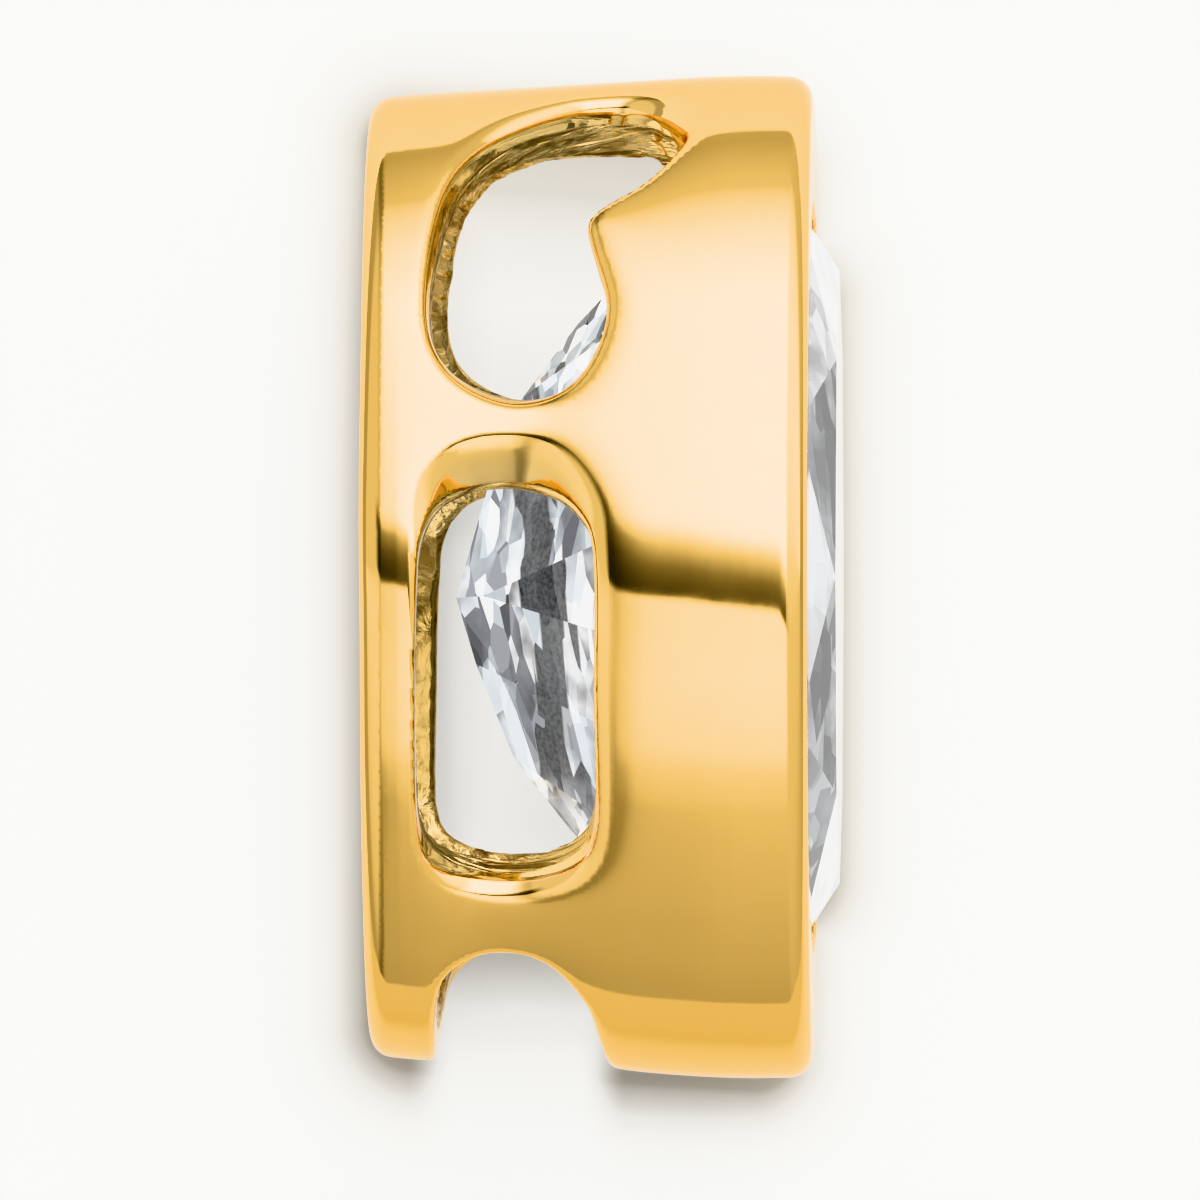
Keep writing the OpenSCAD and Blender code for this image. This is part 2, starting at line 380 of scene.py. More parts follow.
def own_to_world():
    """From the pendant's own (v, w, u) in millimetres to the frame in metres."""
    low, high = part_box("setting")
    rear_edge = (REAR_HALF - HALF_DIFFERENCE - REAR_ROUND) * math.sin(TAPER)
    rise = (OUTER_HALF_WIDTH - WIDEST_LEVEL * math.tan(TAPER)) * math.cos(TAPER)
    shift = Matrix.Translation((low.x + rear_edge * MM, 0, rise * MM))
    turn = Matrix.Rotation(-TAPER, 4, "Y")
    swap = Matrix(((0, 0, 1, 0), (1, 0, 0, 0), (0, 1, 0, 0), (0, 0, 0, 1)))
    return shift @ turn @ Matrix.Scale(MM, 4) @ swap


class Setting:
    """The casting as a signed distance field in millimetres, negative in the metal."""

    # How far the wall's table reaches past its faces and into the bore, and how much it is blurred
    WALL_SPARE = 0.7
    BORE_SPARE = 1.6
    WALL_SOFTEN = 0.03
    # The windows' sides run straight between these shares of WINDOW_DEPTH
    DEPTH_SHARES = (-0.3, 1.5)
    # What is done to the outer edges fades in between these depths under the face
    OUTSIDE = (0.5, 0.1)
    # Widths over which the windows' edges are rounded: inside, outside, and outside in the lower window
    INNER_EDGE = 0.1
    PLAIN_EDGE = 0.18
    SIDE_EDGE = 0.08
    # The upper window's outer edge is rounder at its top, growing between these ways along the wall
    UPPER_EDGE = 0.5
    UPPER_WAYS = (3.0, 1.6)
    # The lower window's outer edge is bevelled at this slant, down to the inner outline carried straight
    # out. The bevel is rounded into the face, more between these levels and most between these ways.
    BEVEL_TURN = math.radians(50)
    BEVEL_EDGE = 0.08
    FRONT_BEVEL_EDGE = 0.14
    FRONT_LEVELS = (1.0, 2.0)
    TOP_BEVEL_EDGE = 0.24
    TOP_WAYS = (8.2, 7.2)
    # The polished face dips towards a window by these depths, each fading over its own distance
    DIP = 0.03
    DIP_REACH = 0.25
    WIDE_DIP = 0.02
    WIDE_REACH = 0.4
    # Behind the first of these levels the face runs straight on to the window
    DIP_LEVELS = (0.6, 1.4)
    # Behind the lower window the face is turned a little to 12 o'clock, over this reach
    TURN = 0.0175
    TURN_REACH = 1.2
    TURN_LEVELS = (0.75, 0.6)
    # The cast skin starts at this depth and is whole this much deeper
    SKIN_DEPTH = 0.3
    SKIN_FADE = 0.2
    # It starts deeper by this much at the lower window's upper end
    SHINE_DEPTH = 0.1
    SHINE_WAYS = (6.2, 6.6, 7.4, 8.2)
    # Sizes and heights of the skin's lumps, and how much is added to them at the upper window's tip
    LUMP_SIZES = ((0.4, 0.009), (0.22, 0.009), (0.12, 0.006))
    TIP_LUMPS = 3.0
    TIP_LEVELS = (2.6, 3.1)
    TIP_WAYS = (3.2, 2.6)

    def __init__(self, stone):
        section = wall_section()
        self.wall = Lookup(
            (BORE_HALF - self.BORE_SPARE, -self.WALL_SPARE),
            (OUTER_HALF + self.WALL_SPARE, SETTING_LENGTH + self.WALL_SPARE),
            lambda p: outline_distance(section, p), self.WALL_SOFTEN,
        )
        self.windows = [
            (window_lookups(UPPER_WINDOW), "top"),
            (window_lookups(LOWER_WINDOW), "side"),
            (window_lookups(slot_rows()), "slot"),
        ]
        self.planes = stone_planes(stone)
        self.lumps = [(Lumps(size, seed), height) for seed, (size, height) in enumerate(self.LUMP_SIZES, 1)]

    def skin(self, half, way, level):
        """How rough the cast skin is at a place: 0 where it is polished, 1 deep in the windows."""
        depth = outer_profile(level) - half
        start = self.SKIN_DEPTH + self.SHINE_DEPTH * smooth_hump(*self.SHINE_WAYS, way)
        return smooth_step(start, start + self.SKIN_FADE, depth) * between_rims(level)

    def window_gaps(self, half, way, level):
        """For each window its kind, and the distances from its edge on the face and from its hole."""
        share = np.clip((OUTER_HALF - half) / WINDOW_DEPTH, *self.DEPTH_SHARES)
        gaps = []
        for (outer, inner), kind in self.windows:
            along = 2 * QUARTER - way if kind == "slot" else way
            edge, hole = outer.at(along, level), inner.at(along, level)
            if kind != "side":
                edge = hole = edge * (1 - share) + hole * share
            gaps.append((kind, edge, hole))
        return gaps

    def dip(self, gaps):
        """How far the polished face dips towards the windows."""
        total = 0
        for _, edge, _ in gaps:
            nearby = np.maximum(edge, 0)
            total = total + self.DIP * np.exp(-nearby / self.DIP_REACH)
            total = total + self.WIDE_DIP * np.exp(-nearby / self.WIDE_REACH)
        return total

    def bevel(self, face, edge, way, level):
        """The lower window's bevel: its distance, and the width that it is rounded over."""
        slant = face * math.cos(self.BEVEL_TURN) - edge * math.sin(self.BEVEL_TURN)
        width = blend(self.BEVEL_EDGE, self.FRONT_BEVEL_EDGE, smooth_step(*self.FRONT_LEVELS, level))
        return slant, blend(width, self.TOP_BEVEL_EDGE, smooth_step(*self.TOP_WAYS, way))

    def at(self, points):
        v, w, u = points.T
        half, way = oval_place(v, w)
        gaps = self.window_gaps(half, way, u)
        outside = smooth_step(*self.OUTSIDE, outer_profile(u) - half)
        dipping = outside * smooth_step(*self.DIP_LEVELS, u)
        sunk = half + self.dip(gaps) * dipping
        turn = self.TURN * v * np.exp(-(v / self.TURN_REACH) ** 2)
        value = self.wall.at(sunk, u) - turn * outside * smooth_step(*self.TURN_LEVELS, u)
        for kind, edge, hole in gaps:
            width = self.PLAIN_EDGE
            if kind == "top":
                width = blend(self.PLAIN_EDGE, self.UPPER_EDGE, smooth_step(*self.UPPER_WAYS, way))
            elif kind == "side":
                width = self.SIDE_EDGE
                value = smooth_max(value, *self.bevel(sunk - outer_profile(u), edge, way, u))
            value = smooth_max(value, -hole, blend(self.INNER_EDGE, width, outside))
        rough = self.skin(half, way, u)
        tip = 1 + self.TIP_LUMPS * smooth_step(*self.TIP_LEVELS, u) * smooth_step(*self.TIP_WAYS, way)
        for lumps, height in self.lumps:
            value = value + height * rough * tip * lumps.at(points)
        in_stone = (points @ self.planes[:, :3].T - self.planes[:, 3]).max(1) - SEAT_GAP
        return np.maximum(value, -in_stone)

    def quick(self, points):
        """The wall alone, to find where the full shape has to be worked out."""
        v, w, u = points.T
        half, _ = oval_place(v, w)
        return self.wall.at(half, u)

    def slope(self, points, step=NORMAL_STEP):
        moves = np.eye(3) * step
        return np.stack([self.at(points + m) - self.at(points - m) for m in moves], 1) / (2 * step)


# Meshing

def net(values, low, step):
    """A surface net round the zero level of a grid of values: corner places and quads."""
    inside = values < 0
    shape = np.array(values.shape) - 1
    corners = [(i, j, k) for i in (0, 1) for j in (0, 1) for k in (0, 1)]

    def part(grid, corner):
        return grid[tuple(slice(c, c + n) for c, n in zip(corner, shape))]

    count = sum(part(inside, c).astype(int) for c in corners)
    mixed = (count > 0) & (count < 8)
    cells = np.argwhere(mixed)
    number = np.full(mixed.shape, -1)
    number[mixed] = np.arange(len(cells))
    total = np.zeros((len(cells), 3))
    hits = np.zeros(len(cells))
    for a in corners:
        for axis in range(3):
            if a[axis]:
                continue
            b = tuple(1 if k == axis else a[k] for k in range(3))
            fa, fb = part(values, a)[mixed], part(values, b)[mixed]
            cross = (fa < 0) != (fb < 0)
            share = np.where(cross, fa / np.where(cross, fa - fb, 1), 0)
            place = np.array(a) + share[:, None] * (np.arange(3) == axis)
            total += np.where(cross[:, None], place, 0)
            hits += cross
    places = np.array(low) + step * (cells + total / hits[:, None])
    quads = []
    for axis in range(3):
        others = [k for k in range(3) if k != axis]
        head = [slice(1, -1)] * 3
        head[axis] = slice(0, -1)
        tail = list(head)
        tail[axis] = slice(1, None)
        a, b = inside[tuple(head)], inside[tuple(tail)]
        edges = np.argwhere(a != b)
        first = a[tuple(edges.T)]
        edges = edges + (np.arange(3) != axis)
        around = []
        for d1, d2 in ((1, 1), (0, 1), (0, 0), (1, 0)):
            cell = edges.copy()
            cell[:, others[0]] -= d1
            cell[:, others[1]] -= d2
            around.append(number[tuple(cell.T)])
        around = np.stack(around, 1)
        flip = first if axis != 1 else ~first
        around[~flip] = around[~flip][:, ::-1]
        quads.append(around)
    return places, np.concatenate(quads)


def cast_net(shape):
    """A net round the whole casting: corner places and quads."""
    low = -np.array([OUTER_HALF, OUTER_HALF_WIDTH, 0]) - GRID_SPARE * VOXEL
    high = np.array([OUTER_HALF, OUTER_HALF_WIDTH, SETTING_LENGTH]) + GRID_SPARE * VOXEL
    counts = np.ceil((high - low) / VOXEL).astype(int) + 1
    axes = [low[k] + VOXEL * np.arange(counts[k]) for k in range(3)]
    grid = np.stack(np.meshgrid(*axes, indexing="ij"), -1).reshape(-1, 3)
    values = shape.quick(grid)
    close = np.flatnonzero(values < NEAR)
    for some in np.array_split(close, GRID_PARTS):
        values[some] = shape.at(grid[some])
    return net(values.reshape(counts), low, VOXEL)


def settled(shape, places):
    """The net's corners moved on to the surface, and the surface's normals there."""
    for _ in range(SETTLE_ROUNDS):
        slope = shape.slope(places)
        size = np.maximum((slope ** 2).sum(1), SETTLE_SLOPE)
        move = (shape.at(places) / size)[:, None] * slope
        length = np.linalg.norm(move, axis=1, keepdims=True)
        places = places - move * np.minimum(1, SETTLE_MOVE * VOXEL / np.maximum(length, 1e-9))
    slope = shape.slope(places)
    return places, slope / np.maximum(np.linalg.norm(slope, axis=1, keepdims=True), 1e-9)


def setting_piece(stone):
    shape = Setting(stone)
    places, quads = cast_net(shape)
    places, normals = settled(shape, places)
    world = np.array(own_to_world())
    turned = normals @ world[:3, :3].T / MM
    mesh = bpy.data.meshes.new("cast_setting")
    mesh.from_pydata((places @ world[:3, :3].T + world[:3, 3]).tolist(), [], quads.tolist())
    mesh.update()
    mesh.shade_smooth()
    mesh.normals_split_custom_set_from_vertices(turned.tolist())
    half, way = oval_place(places[:, 0], places[:, 1])
    level = places[:, 2]
    marks = {
        "cast_skin": shape.skin(half, way, level),
        "depth": (outer_profile(level) - half) * between_rims(level),
        "calm": smooth_hump(*CALM_WAYS, way),
    }
    for name, values in marks.items():
        attribute = mesh.attributes.new(name, "FLOAT", "POINT")
        attribute.data.foreach_set("value", values.astype(np.float32))
    piece = bpy.data.objects.new("cast_setting", mesh)
    bpy.context.scene.collection.objects.link(piece)
    return piece


# Materials

def new_material(name):
    material = bpy.data.materials.new(name)
    material.use_nodes = True
    tree = material.node_tree
    shader = tree.nodes["Principled BSDF"]
    return material, tree, shader


def add_place(tree):
    """Places in the object's own metres."""
    return tree.nodes.new("ShaderNodeTexCoord").outputs["Object"]


def add_axes(tree, vector):
    """The X, Y and Z of a vector."""
    split = tree.nodes.new("ShaderNodeSeparateXYZ")
    tree.links.new(vector, split.inputs["Vector"])
    return [split.outputs[axis] for axis in "XYZ"]


def add_attribute(tree, name):
    node = tree.nodes.new("ShaderNodeAttribute")
    node.attribute_name = name
    return node.outputs["Fac"]


def add_noise(tree, scale, detail=3.0, distortion=0.0, layers=None):
    """Noise with a scale in features per millimetre, moved along its diagonal by layers if asked."""
    mapping = tree.nodes.new("ShaderNodeMapping")
    mapping.inputs["Scale"].default_value = (1 / MM, 1 / MM, 1 / MM)
    tree.links.new(add_place(tree), mapping.inputs["Vector"])
    place = mapping.outputs["Vector"]
    if layers is not None:
        shift = tree.nodes.new("ShaderNodeVectorMath")
        tree.links.new(place, shift.inputs[0])
        tree.links.new(layers, shift.inputs[1])
        place = shift.outputs["Vector"]
    noise = tree.nodes.new("ShaderNodeTexNoise")
    noise.inputs["Scale"].default_value = scale
    noise.inputs["Detail"].default_value = detail
    noise.inputs["Distortion"].default_value = distortion
    tree.links.new(place, noise.inputs["Vector"])
    return noise.outputs["Fac"]


def add_range(tree, value, span, result=(0, 1), course="LINEAR"):
    """A value carried over from one span of numbers to another, and held at its ends."""
    node = tree.nodes.new("ShaderNodeMapRange")
    node.interpolation_type = course
    for name, number in zip(("From Min", "From Max", "To Min", "To Max"), (*span, *result)):
        node.inputs[name].default_value = number
    tree.links.new(value, node.inputs["Value"])
    return node.outputs["Result"]


def add_maths(tree, operation, a, b=0):
    node = tree.nodes.new("ShaderNodeMath")
    node.operation = operation
    for socket, value in zip(node.inputs, (a, b)):
        if isinstance(value, (int, float)):
            socket.default_value = value
        else:
            tree.links.new(value, socket)
    return node.outputs["Value"]


def add_sum(tree, a, b):
    return add_maths(tree, "ADD", a, b)


def add_product(tree, a, b):
    return add_maths(tree, "MULTIPLY", a, b)


def add_rest(tree, share):
    """What a share leaves of 1."""
    return add_maths(tree, "SUBTRACT", 1, share)


def add_blend(tree, share, a, b):
    """A mix of two numbers, all three of them sockets."""
    node = tree.nodes.new("ShaderNodeMix")
    for socket, value in zip(("Factor", "A", "B"), (share, a, b)):
        tree.links.new(value, node.inputs[socket])
    return node.outputs["Result"]


def add_ramp(tree, value, stops):
    """A curve through stops, each a value and its height."""
    low, high = stops[0][0], stops[-1][0]
    most = max(height for _, height in stops)
    ramp = tree.nodes.new("ShaderNodeValToRGB")
    tree.links.new(add_range(tree, value, (low, high)), ramp.inputs["Fac"])
    marks = ramp.color_ramp.elements
    for place, height in stops:
        position = (place - low) / (high - low)
        mark = marks[0] if place == low else marks[-1] if place == high else marks.new(position)
        mark.color = (*[height / most] * 3, 1)
    return add_product(tree, ramp.outputs["Color"], most)


def add_mix(tree, share, a, b):
    """A mix of two colours, each a tuple or a socket."""
    node = tree.nodes.new("ShaderNodeMix")
    node.data_type = "RGBA"
    tree.links.new(share, node.inputs["Factor"])
    for socket, value in ((node.inputs["A"], a), (node.inputs["B"], b)):
        if isinstance(value, tuple):
            socket.default_value = (*value, 1)
        else:
            tree.links.new(value, socket)
    return node.outputs["Result"]


GOLD = (1.0, 0.64, 0.19)
GOLD_WARM = (1.0, 0.61, 0.165)
GOLD_EDGE = (1.0, 0.82, 0.52)
# Walls that face each other redden one another's reflections, so their own colour turns paler
# between these depths in millimetres.
GOLD_PALE = (0.98, 0.68, 0.26)
PALE_DEPTHS = (0.02, 0.35)
# The cast skin: its own dull gold on the ridges' crests, and painted shade in their hollows and on the
# lower windows' calm long sides
SKIN_LIGHT = (0.68, 0.5, 0.21)
SKIN_HOLLOW_SHADE = (0.15, 0.09, 0.03)
CALM_SIDE_SHADE = (0.2, 0.135, 0.045)
# Features per millimetre of the noise that makes the skin's edge ragged, of its ridges and of the haze
RAGGED_SCALE = 3
RIDGE_SCALE = 2.3
HAZE_SCALE = 2.2
# The share of the ragged noise, and the sums between which the skin grows whole
RAGGED_SHARE = 0.5
SKIN_START = (0.45, 0.7)
# The ridges are twisted, and moved on with the depth so that they run along the windows' edges.
RIDGE_TWIST = 0.7
SKIN_LAYERS = 3.0
# Heights of the ridges between which the painted shade of their hollows turns to the skin's own colour on
# their crests
RIDGE_TONES = (0.38, 0.55)
# The part of a noise that roughness follows, and the roughness at its ends, polished and cast
NOISE_SPAN = (0.3, 0.7)
POLISHED_ROUGHNESS = (0.045, 0.075)
CAST_ROUGHNESS = (0.3, 0.16)
# The relief of the ridges in millimetres, and the share of it left where the skin is lively and calm
RIDGE_RELIEF = 0.09
RELIEF_SHARES = (0.9, 0.25)


def add_bump(tree, height, strength, distance):
    bump = tree.nodes.new("ShaderNodeBump")
    bump.inputs["Distance"].default_value = distance
    tree.links.new(strength, bump.inputs["Strength"])
    tree.links.new(height, bump.inputs["Height"])
    return bump.outputs["Normal"]


def gold_material():
    """Polished gold, with a melted cast skin where the polishing wheel doesn't reach, and painted shade in
    the skin's hollows and on the lower windows' calm sides.
    """
    material, tree, shader = new_material("polished_gold")
    cast, depth, calm = (add_attribute(tree, name) for name in ("cast_skin", "depth", "calm"))
    ragged = add_product(tree, add_noise(tree, RAGGED_SCALE), RAGGED_SHARE)
    skin = add_range(tree, add_sum(tree, cast, ragged), SKIN_START)
    layers = add_product(tree, depth, SKIN_LAYERS)
    ridges = add_noise(tree, RIDGE_SCALE, distortion=RIDGE_TWIST, layers=layers)
    haze = add_noise(tree, HAZE_SCALE)

    recess = add_range(tree, depth, PALE_DEPTHS)
    polished = add_mix(tree, recess, add_mix(tree, haze, GOLD_WARM, GOLD), GOLD_PALE)
    # Painted shade: dark in the hollows of the skin's ridges, and evenly dark on the lower windows' calm
    # sides
    melted = add_mix(tree, add_range(tree, ridges, RIDGE_TONES), SKIN_HOLLOW_SHADE, SKIN_LIGHT)
    melted = add_mix(tree, calm, melted, CALM_SIDE_SHADE)
    tree.links.new(add_mix(tree, skin, polished, melted), shader.inputs["Base Color"])

    fine = add_range(tree, haze, NOISE_SPAN, POLISHED_ROUGHNESS)
    coarse = add_range(tree, ridges, NOISE_SPAN, CAST_ROUGHNESS)
    tree.links.new(add_blend(tree, skin, fine, coarse), shader.inputs["Roughness"])
    strength = add_product(tree, skin, add_range(tree, calm, (0, 1), RELIEF_SHARES))
    tree.links.new(add_bump(tree, ridges, strength, RIDGE_RELIEF * MM), shader.inputs["Normal"])
    shader.inputs["Metallic"].default_value = 1.0
    shader.inputs["Specular Tint"].default_value = (*GOLD_EDGE, 1)
    return material


# Painted reflections: tones of the light that a brilliant cut throws back, by the share of the shards that
# are darker, and tone
SHARD_REFLECTION_TONES = [
    (0.0, (0.02, 0.02, 0.025)),
    (0.12, (0.1, 0.105, 0.12)),
    (0.26, (0.25, 0.26, 0.28)),
    (0.42, (0.48, 0.52, 0.55)),
    (0.58, (0.72, 0.75, 0.78)),
    (0.74, (1.0, 1.0, 1.0)),
]
# Sizes of the shards in millimetres: along the pendant's axis, towards 12 o'clock and out of its side
SHARD_SIZES = (0.42, 1.7, 0.6)
SHARD_TURN = math.radians(7)
# Large and small shards to each of those sizes, and how far their pattern jumps from facet to facet
LARGE_SHARDS = 1.0
SMALL_SHARDS = 2.3
FACET_JUMP = 3.1
# Noise that mixes large and small shards: features per millimetre, its part that counts, small ones' share
SHARD_MIX_SCALE = 1.2
SHARD_MIX_SPAN = (0.4, 0.6)
SMALL_SHARE = (0.2, 0.8)
# The painted dark reflection streaked down the pavilion in millimetres: its middle, lean, half width,
# raggedness and lower end
STREAK_MIDDLE = -0.72
STREAK_LEAN = 0.1
STREAK_HALF = 0.2
STREAK_RAGGED = 0.14
STREAK_END = (-2.9, -2.3)
# Cells of its ragged edge to each shard's size, the edge in shares of its half width, and its share in all
STREAK_CELLS = 1.6
STREAK_EDGE = (1.05, 0.95)
STREAK_SHARE = 0.88
# The mottling of the painted dark reflection: features per millimetre, the noise's part that counts, and
# its tones
MOTTLE_SCALE = 18
MOTTLE_SPAN = (0.35, 0.65)
DARK_REFLECTION_TONES = (0.0, 0.065)
# Painted reflections on the crown's facets, toned by how far they face forward: halves, kites, stars and
# table
CROWN_REFLECTION_TONES = [
    (0.4, 0.3),
    (0.62, 0.26),
    (0.7, 0.46),
    (0.74, 0.46),
    (0.76, 0.24),
    (0.79, 0.24),
    (0.81, 0.26),
    (0.86, 0.26),
    (0.88, 0.08),
    (0.91, 0.08),
    (0.92, 0.28),
    (0.95, 0.28),
    (0.97, 0.32),
    (1.0, 0.32),
]
# The crown is what faces forward by more than this, and its painted reflection tones have this share
CROWN_FROM = (0.2, 0.3)
CROWN_SHARE = 0.75
# The stone's painted reflections are given mostly as glow, and partly as its colour. Then come its optics.
STONE_REFLECTION_GLOW = 0.75
STONE_COLOUR = 0.5
STONE_CLEARNESS = 0.05
STONE_IOR = 1.45
STONE_SHINE = 0.2
POLISH_SCALE = 1.5
STONE_ROUGHNESS = (0.0, 0.03)


def add_cells(tree, place, scale, channel):
    """Straight-edged cells, each with a number of its own from 0 to 1."""
    cells = tree.nodes.new("ShaderNodeTexVoronoi")
    cells.inputs["Scale"].default_value = scale
    tree.links.new(place, cells.inputs["Vector"])
    channels = tree.nodes.new("ShaderNodeSeparateColor")
    tree.links.new(cells.outputs["Color"], channels.inputs["Color"])
    return channels.outputs[channel]


def add_shards(tree, place, scale):
    """Cells, each with one of the painted reflections' tones."""
    ramp = tree.nodes.new("ShaderNodeValToRGB")
    ramp.color_ramp.interpolation = "CONSTANT"
    tree.links.new(add_cells(tree, place, scale, "Red"), ramp.inputs["Fac"])
    stops = ramp.color_ramp.elements
    stops.remove(stops[1])
    stops[0].color = (*SHARD_REFLECTION_TONES[0][1], 1)
    for position, tone in SHARD_REFLECTION_TONES[1:]:
        stops.new(position).color = (*tone, 1)
    return ramp.outputs["Color"]


def add_scaled(tree, vector, factor):
    node = tree.nodes.new("ShaderNodeVectorMath")
    node.operation = "SCALE"
    tree.links.new(vector, node.inputs["Vector"])
    node.inputs["Scale"].default_value = factor
    return node.outputs["Vector"]


def add_reflected_streak(tree, shard_place):
    """How much of the painted dark reflection streaked down the pavilion lies at a place, from 0 to
    STREAK_SHARE.
    """
    across, along, _ = add_axes(tree, add_scaled(tree, add_place(tree), 1 / MM))
    leaning = add_product(tree, along, STREAK_LEAN)
    aside = add_maths(tree, "ABSOLUTE", add_sum(tree, add_sum(tree, across, leaning), -STREAK_MIDDLE))
    cells = add_cells(tree, shard_place, STREAK_CELLS, "Green")
    ragged = add_range(tree, cells, (0, 1), (-STREAK_RAGGED, STREAK_RAGGED))
    edge = [share * STREAK_HALF for share in STREAK_EDGE]
    share = add_range(tree, add_sum(tree, aside, ragged), edge, (0, STREAK_SHARE))
    return add_product(tree, share, add_range(tree, along, STREAK_END))


def add_shard_place(tree, facing):
    """Places counted in shards, with a jump from each facet to the next."""
    mapping = tree.nodes.new("ShaderNodeMapping")
    mapping.vector_type = "TEXTURE"
    mapping.inputs["Scale"].default_value = [size * MM for size in SHARD_SIZES]
    mapping.inputs["Rotation"].default_value = (0, 0, SHARD_TURN)
    tree.links.new(add_place(tree), mapping.inputs["Vector"])
    jump = tree.nodes.new("ShaderNodeVectorMath")
    jump.operation = "MULTIPLY_ADD"
    tree.links.new(facing, jump.inputs[0])
    jump.inputs[1].default_value = (FACET_JUMP, FACET_JUMP, FACET_JUMP)
    tree.links.new(mapping.outputs["Vector"], jump.inputs[2])
    return jump.outputs["Vector"]


def stone_material():
    """A clear brilliant cut with painted reflections: shards of thrown back light, painted as colour and
    glow, that change from facet to facet.
    """
    material, tree, shader = new_material("clear_stone")
    facing = tree.nodes.new("ShaderNodeNewGeometry").outputs["True Normal"]
    place = add_shard_place(tree, facing)
    # Painted reflections: shards of light and dark tones, large and small
    large = add_shards(tree, place, LARGE_SHARDS)
    small = add_shards(tree, place, SMALL_SHARDS)
    share = add_range(tree, add_noise(tree, SHARD_MIX_SCALE), SHARD_MIX_SPAN, SMALL_SHARE)
    shards = add_mix(tree, share, large, small)
    # Painted dark reflection down the pavilion, with a fine mottling
    reflected_mottle = add_range(tree, add_noise(tree, MOTTLE_SCALE), MOTTLE_SPAN, DARK_REFLECTION_TONES)
    tone = add_mix(tree, add_reflected_streak(tree, place), shards, reflected_mottle)

    # Painted reflections on the crown, toned by how far each facet faces forward
    forward = add_axes(tree, facing)[0]
    crown = add_range(tree, forward, CROWN_FROM, (0, CROWN_SHARE))
    tone = add_mix(tree, crown, tone, add_ramp(tree, forward, CROWN_REFLECTION_TONES))
    # The painted reflections are given as colour and as glow
    tree.links.new(add_scaled(tree, tone, STONE_COLOUR), shader.inputs["Base Color"])
    tree.links.new(tone, shader.inputs["Emission Color"])
    shader.inputs["Emission Strength"].default_value = STONE_REFLECTION_GLOW
    shader.inputs["Transmission Weight"].default_value = STONE_CLEARNESS
    shader.inputs["IOR"].default_value = STONE_IOR
    shader.inputs["Specular IOR Level"].default_value = STONE_SHINE
    polish = add_range(tree, add_noise(tree, POLISH_SCALE), NOISE_SPAN, STONE_ROUGHNESS)
    tree.links.new(polish, shader.inputs["Roughness"])
    return material


# The pale board is lit from below, and its shade lies close round the pendant.
BOARD_GLOW = 0.85
BOARD_LIGHT = (1.0, 0.995, 0.97)
BOARD_SHADE = (0.1, 0.08, 0.05)
BOARD_ROUGHNESS = 0.9
# Its fibres: features per millimetre, detail of the noise and colours
FIBRE_SCALE = 3
FIBRE_DETAIL = 4
FIBRE_COLOURS = ((0.42, 0.42, 0.41), (0.44, 0.44, 0.43))
# The shaded field in millimetres: its middle, its half sizes and the radius of its corners
SHADE_MIDDLE = (-0.075, -0.34)
SHADE_HALF = (2.525, 5.66)
SHADE_CORNER = 0.5
# Its lower edge rises to the left of this place, like the pendant's, by this much a millimetre.
SKEW_FROM = 1.3
SHADE_SKEW = 0.06
# The second shaded field, beside the stone
STONE_MIDDLE = (2.34, -0.15)
STONE_HALF = (0.55, 3.85)
# The lighter strip between the two feet of the slot: its middle, the distances from there between which it
# fades, the places towards 12 o'clock between which it fades, and how light it is
STRIP_MIDDLE = -0.83
STRIP_SIDES = (0.7, 1.3)
STRIP_ENDS = (-5.9, -4.6)
STRIP_LIGHT = 0.84
# Light left at distances from the field's edge, negative inside
SHADE = [
    (-3, 0.78),
    (-1.5, 0.74),
    (-0.8, 0.55),
    (-0.1, 0.12),
    (0, 0.15),
    (0.09, 0.28),
    (0.26, 0.43),
    (0.45, 0.62),
    (0.75, 0.85),
    (1.3, 1.0),
]
# Inside the oval, shade lies close to both ends of the wall: place towards 12 o'clock, share of light
END_SHADE = [
    (-5.6, 1.0),
    (-5.2, 0.97),
    (-4.8, 0.76),
    (-4.45, 0.44),
    (-4.1, 0.6),
    (-3.4, 1.0),
    (3.2, 1.0),
    (4.5, 0.62),
    (4.95, 0.42),
    (5.6, 1.0),
]
# That shade sets in between these distances inside the field's edge
END_SHADE_EDGE = (-0.3, -0.9)
# Beyond the picture's lower edge the board lies in less light: place towards 12 o'clock, share of light
BOARD_FADE = [
    (-14, 0.3),
    (-7.6, 1.0),
    (0, 1.0),
]


def add_box_distance(tree, place, middle, half):
    """Distance from the edge of a box with rounded corners on the floor, negative inside."""
    offsets = []
    for part, centre, reach in zip(place, middle, half):
        aside = add_maths(tree, "ABSOLUTE", add_sum(tree, part, -centre))
        offsets.append(add_sum(tree, aside, SHADE_CORNER - reach))
    squares = [add_maths(tree, "POWER", add_maths(tree, "MAXIMUM", offset, 0), 2) for offset in offsets]
    outside = add_maths(tree, "SQRT", add_sum(tree, *squares))
    inside = add_maths(tree, "MINIMUM", add_maths(tree, "MAXIMUM", *offsets), 0)
    return add_sum(tree, add_sum(tree, outside, inside), -SHADE_CORNER)


